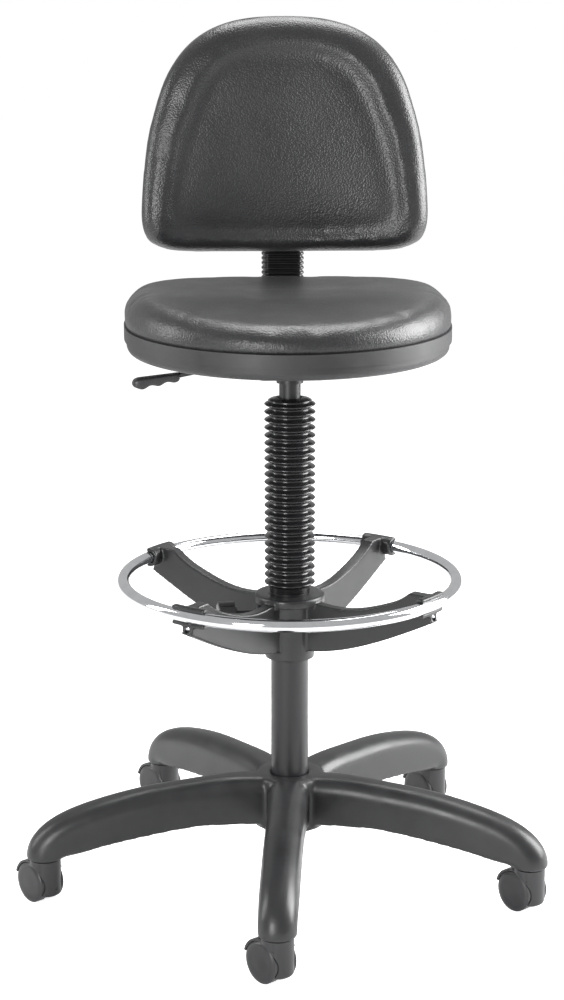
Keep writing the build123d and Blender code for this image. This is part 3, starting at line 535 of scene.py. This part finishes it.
def face_depth(share):
    """Depth behind the front at a share of the way to the rim: domed middle, groove, then the border."""
    dome = 0.3 * mm + 6.0 * mm * (share / middle_edge) ** 2.6
    border = 1.2 * mm + 26 * mm * max(share - 0.86, 0.0)
    outer = ease((share - 0.62) / 0.2)
    groove = 3.0 * mm * math.exp(-((share - 0.71) / 0.06) ** 2)
    return (1 - outer) * dome + outer * border + groove


def back_ring(share, depth):
    return [back_point(back_middle.lerp(p, share), depth) for p in rim_points]


def face_ring(share, roll_depth=0.0):
    """A ring of the front face; inside the border its points close in on the arch-shaped middle."""
    ring = []
    for p in rim_points:
        bend = groove_share(p) / middle_edge
        warped = share * (1 + (bend - 1) * ease((1 - share) / 0.3))
        ring.append(back_point(back_middle.lerp(p, warped), face_depth(share) + roll_depth))
    return ring


def back_shell_form():
    """The cushion's closed skin: flat behind, a full rolled border and a domed arch-shaped middle."""
    rings = [back_ring(share, back_foam - 1.0 * mm) for share in (0.1, 0.4, 0.7, 0.9, 0.985)]
    rings.append(back_ring(1.0, back_foam - 5.0 * mm))
    for step in range(back_roll_steps + 1):
        turn = math.radians(90 * step / back_roll_steps)
        share = 1.004 - 0.17 * (1 - math.cos(turn))
        rings.append(face_ring(share, back_roll * (1 - math.sin(turn))))
    groove_shares = [round(0.81 - 0.02 * step, 2) for step in range(9)]
    middle_shares = [0.61, 0.56, 0.5, 0.42, 0.32, 0.2, 0.08]
    for share in groove_shares + middle_shares:
        rings.append(face_ring(share))
    return skinned_rings("back_pad", rings)


back_pad = swell(back_shell_form(), swell_cap)
subdivide(back_pad)


# ---------------------------------------------------------------- bellows and strut cover

bellows_low, bellows_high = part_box("column_bellows")
bellows_crest = (bellows_high.x - bellows_low.x) / 2 + 1.4 * mm


def lathe(name, line, steps=96):
    """A closed piece turned round the vertical axis from a closed line of (radius, height)."""
    rings = []
    for radius, height in line:
        rings.append([(radius * math.cos(tau * i / steps), radius * math.sin(tau * i / steps), height)
                      for i in range(steps)])
    return skinned_rings(name, rings, loop=True)


def bellows():
    """The pleated column boot: neck, rounded pleats and a closed sloping top."""
    pleats = 24
    steps_per_pleat = 10
    neck = 7 * mm
    cap = 3.4 * mm
    valley = bellows_crest - 6.6 * mm
    skin = 1.1 * mm
    tube_radius = 25.2 * mm
    neck_radius = tube_radius + 1.5 * mm
    top_hole = 15.4 * mm
    low = bellows_low.z
    high = bellows_high.z
    pleated = high - cap - low - neck
    outer = [(neck_radius - 0.2 * mm, low), (neck_radius, low + 0.6 * mm)]
    outer.append((neck_radius, low + neck - 0.8 * mm))
    samples = pleats * steps_per_pleat
    for i in range(samples + 1):
        wave = 0.5 - 0.5 * math.cos(tau * pleats * i / samples)
        outer.append((valley + (bellows_crest - valley) * wave ** 1.5, low + neck + pleated * i / samples))
    outer[-1] = (valley + 1.5 * mm, high - cap)
    outer += [(valley - 1 * mm, high - 1.9 * mm), (top_hole + 4 * mm, high - 0.4 * mm),
              (top_hole + 0.5 * mm, high), (top_hole, high - 0.3 * mm)]
    inner = [(top_hole, high - skin), (valley - 3 * mm, high - cap - skin)]
    inner += [(valley - skin, low + neck + skin), (tube_radius, low + neck), (tube_radius, low)]
    return lathe("column_boot", outer + inner)


boot = bellows()

cover_low, cover_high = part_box("back_bar_cover")


def rounded_box_ring(centre, half_x, half_y, corner, height, arc_steps=8):
    """A ring with rounded corners, at one height."""
    ring = []
    for quarter in range(4):
        sx = (1, -1, -1, 1)[quarter]
        sy = (1, 1, -1, -1)[quarter]
        for step in range(arc_steps + 1):
            turn = tau / 4 * (quarter + step / arc_steps)
            ring.append((centre.x + sx * (half_x - corner) + corner * math.cos(turn),
                         centre.y + sy * (half_y - corner) + corner * math.sin(turn), height))
    return ring


def strut_cover():
    """The accordion sleeve over the back upright: rounded pleats, hollow inside."""
    centre = (cover_low + cover_high) / 2
    half_x = (cover_high.x - cover_low.x) / 2
    half_y = (cover_high.y - cover_low.y) / 2
    corner = 10 * mm
    pitch = 6.5 * mm
    steps_per_pleat = 8
    fold = 2.6 * mm
    bore_inset = fold + 1.4 * mm
    height = cover_high.z - cover_low.z
    samples = round(height / pitch) * steps_per_pleat
    rings = []
    for i in range(samples + 1):
        wave = 0.5 - 0.5 * math.cos(tau * (i / steps_per_pleat))
        inset = fold * (1 - wave ** 0.6)
        level = cover_low.z + height * i / samples
        rings.append(rounded_box_ring(centre, half_x - inset, half_y - inset, corner - inset, level))
    bore_x = half_x - bore_inset
    bore_y = half_y - bore_inset
    for level in (cover_high.z, cover_low.z):
        rings.append(rounded_box_ring(centre, bore_x, bore_y, corner - bore_inset, level))
    return skinned_rings("strut_sleeve", rings, loop=True)


sleeve = strut_cover()


# ---------------------------------------------------------------- star base and foot ring spider

def copy_of(node, name):
    """A free copy of a CAD node's mesh."""
    data = nodes[node].data.copy()
    obj = bpy.data.objects.new(name, data)
    bpy.context.scene.collection.objects.link(obj)
    return obj


def softened(node, name, voxel, turns):
    """A copy of a CAD moulding with radii on its edges and where its arms run into the hub."""
    obj = copy_of(node, name)
    run_modifier(obj, "REMESH", mode="VOXEL", voxel_size=voxel)
    run_modifier(obj, "SMOOTH", factor=0.5, iterations=turns)
    return obj


star = softened("star_base", "star_casting", 2.5 * mm, 10)
spider = softened("footring_spider", "spider_casting", 1.5 * mm, 5)


# ---------------------------------------------------------------- the lever's grip

grip_low, grip_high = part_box("lever_handle")


def squarish(value):
    """A sine or cosine pushed outwards, so that a round turns into a soft rectangle."""
    return math.copysign(abs(value) ** 0.55, value)


def grip_closing(share):
    """How full the grip is along its length: a round nose at the outer end, a short heel at the rod."""
    nose_starts = 0.84
    heel_ends = 0.05
    nose = math.sqrt(max(1 - max((share - nose_starts) / (1 - nose_starts), 0.0) ** 2, 0.0))
    heel = math.sqrt(max(1 - max((heel_ends - share) / heel_ends, 0.0) ** 2, 0.0))
    return max(min(nose, 0.35 + 0.65 * heel), 0.05)


def lever_grip():
    """A flat-topped paddle on the lever's rod: rounded outer end and three finger waves underneath."""
    inner = Vector((grip_high.x, 0, grip_high.z - 7 * mm))
    outer = Vector((grip_low.x + 1 * mm, 0, grip_low.z + 6.5 * mm))
    along = (outer - inner).normalized()
    up = Vector((-along.z, 0, along.x))
    if up.z < 0:
        up = -up
    middle_y = (grip_low.y + grip_high.y) / 2
    half_width = (grip_high.y - grip_low.y) / 2
    length = (outer - inner).length
    fingers = 3
    stations = 44
    ring_steps = 32
    rings = []
    for i in range(stations + 1):
        share = i / stations
        closing = grip_closing(share)
        wave = math.sin(tau * fingers * share - 0.6)
        top = (4.5 * mm + 1.5 * mm * share) * closing
        bottom = (5.5 * mm + 3.5 * mm * share + 1.5 * mm * wave) * closing
        half = (half_width - 4 * mm * (1 - share)) * (0.45 + 0.55 * closing)
        centre = inner + along * (length * share)
        ring = []
        for step in range(ring_steps):
            turn = tau * step / ring_steps
            side = squarish(math.cos(turn)) * half
            lift = squarish(math.sin(turn))
            lift *= top if lift > 0 else bottom
            point = centre + up * lift
            ring.append((point.x, middle_y + side, point.z))
        rings.append(ring)
    grip = skinned_rings("lever_grip", rings)
    subdivide(grip)
    return grip


grip = lever_grip()


# ---------------------------------------------------------------- pieces onto the frame

finish_piece(seat_pad, "vinyl", "seat_unit", ["seat_cushion"])
finish_piece(back_pad, "vinyl", "back_unit", ["back_cushion"])
finish_piece(boot, "bellows_plastic", "base", ["column_bellows"])
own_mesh(boot)
finish_piece(sleeve, "bellows_plastic", "back_slide", ["back_bar_cover"])
finish_piece(star, "nylon_base", "base", ["star_base"])
finish_piece(spider, "spider_plastic", "footring_unit", ["footring_spider"])
finish_piece(grip, "knob_plastic", "lever", ["lever_handle"])

for name in ("footring_knob", "back_height_knob", "back_depth_knob", "seat_mechanism"):
    round_edges(name, 0.8 * mm)
round_edges("back_bracket", 1.0 * mm)


# ---------------------------------------------------------------- floor, light and camera

white = (1, 1, 1, 1)
floor_glow = 0.84
floor_in_reflections = 0.3
surround_strength = 0.2
backdrop_in_reflections = 0.36


def floor_material():
    """Matt white that glows for the camera, and dimly in reflections."""
    mat, shader = new_material("studio_floor", (0.85, 0.85, 0.85), 0.9)
    shader.inputs["Specular IOR Level"].default_value = 0.0
    shader.inputs["Emission Color"].default_value = white
    rays = add_node(mat, "ShaderNodeLightPath")
    seen = add_node(mat, "ShaderNodeMath", operation="MULTIPLY_ADD")
    seen.inputs[1].default_value = floor_in_reflections
    join(mat, rays.outputs["Is Glossy Ray"], seen.inputs[0])
    join(mat, rays.outputs["Is Camera Ray"], seen.inputs[2])
    glow = spread(mat, seen.outputs["Value"], 0.0, floor_glow, 0.0, 1.0)
    join(mat, glow, shader.inputs["Emission Strength"])
    mottle = cloud(mat, place(mat), 3.0, 4.0)
    base = tint(mat, mottle, (0.84, 0.84, 0.84), (0.88, 0.88, 0.88))
    join(mat, base.outputs["Result"], shader.inputs["Base Color"])
    return mat


def studio_floor():
    """A flat pale floor, wide enough for every view."""
    half = 14.0
    corners = [(-half, -half, 0), (half, -half, 0), (half, half, 0), (-half, half, 0)]
    obj = mesh_object("studio_floor", corners, [(0, 1, 2, 3)], smooth=False)
    obj.data.materials.append(floor_material())
    return obj


def soft_light(name, place_at, aim, width, height, power):
    """A rectangular softbox turned towards a point."""
    light = bpy.data.lights.new(name, "AREA")
    light.shape = "RECTANGLE"
    light.size = width
    light.size_y = height
    light.energy = power
    lamp = bpy.data.objects.new(name, light)
    lamp.location = place_at
    lamp.rotation_euler = (Vector(aim) - Vector(place_at)).to_track_quat("-Z", "Y").to_euler()
    bpy.context.scene.collection.objects.link(lamp)


def studio_world():
    """A dim surround, with a white backdrop for the camera and a share of it in reflections."""
    world = bpy.data.worlds.new("studio")
    world.use_nodes = True
    tree = world.node_tree
    surround = tree.nodes["Background"]
    surround.inputs["Color"].default_value = white
    surround.inputs["Strength"].default_value = surround_strength
    backdrop = tree.nodes.new("ShaderNodeBackground")
    backdrop.inputs["Color"].default_value = white
    backdrop.inputs["Strength"].default_value = 1.0
    rays = tree.nodes.new("ShaderNodeLightPath")
    share = tree.nodes.new("ShaderNodeMath")
    share.operation = "MULTIPLY_ADD"
    share.inputs[1].default_value = backdrop_in_reflections
    tree.links.new(rays.outputs["Is Glossy Ray"], share.inputs[0])
    tree.links.new(rays.outputs["Is Camera Ray"], share.inputs[2])
    either = tree.nodes.new("ShaderNodeMixShader")
    tree.links.new(share.outputs["Value"], either.inputs["Fac"])
    tree.links.new(surround.outputs["Background"], either.inputs[1])
    tree.links.new(backdrop.outputs["Background"], either.inputs[2])
    tree.links.new(either.outputs["Shader"], tree.nodes["World Output"].inputs["Surface"])
    bpy.context.scene.world = world


def studio_lights():
    """Softboxes given by place, aim, width, height and watts."""
    soft_light("key", (-1.35, -2.55, 1.0), (0, 0.1, 0.95), 0.8, 1.3, 54)
    soft_light("rim", (2.1, 0.3, 1.3), (0, 0.1, 0.8), 1.5, 1.9, 120)
    soft_light("side", (-2.2, 0.3, 1.2), (0, 0.0, 0.6), 0.5, 1.6, 22)
    soft_light("top", (0.2, 1.0, 2.8), (0, 0, 0.7), 1.6, 1.4, 55)


def camera():
    """Eye-level view of the front, looking a little down."""
    looking_down = 13.61
    turned_right = 2.2
    data = bpy.data.cameras.new("camera")
    data.lens = 82.1
    data.sensor_width = 36.0
    eye = bpy.data.objects.new("camera", data)
    eye.location = (-0.1221, -2.9115, 1.2322)
    eye.rotation_euler = (math.radians(90 - looking_down), 0, math.radians(-turned_right))
    bpy.context.scene.collection.objects.link(eye)
    bpy.context.scene.camera = eye


studio_world()
studio_floor()
studio_lights()
camera()
bpy.context.scene.view_settings.view_transform = "Standard"
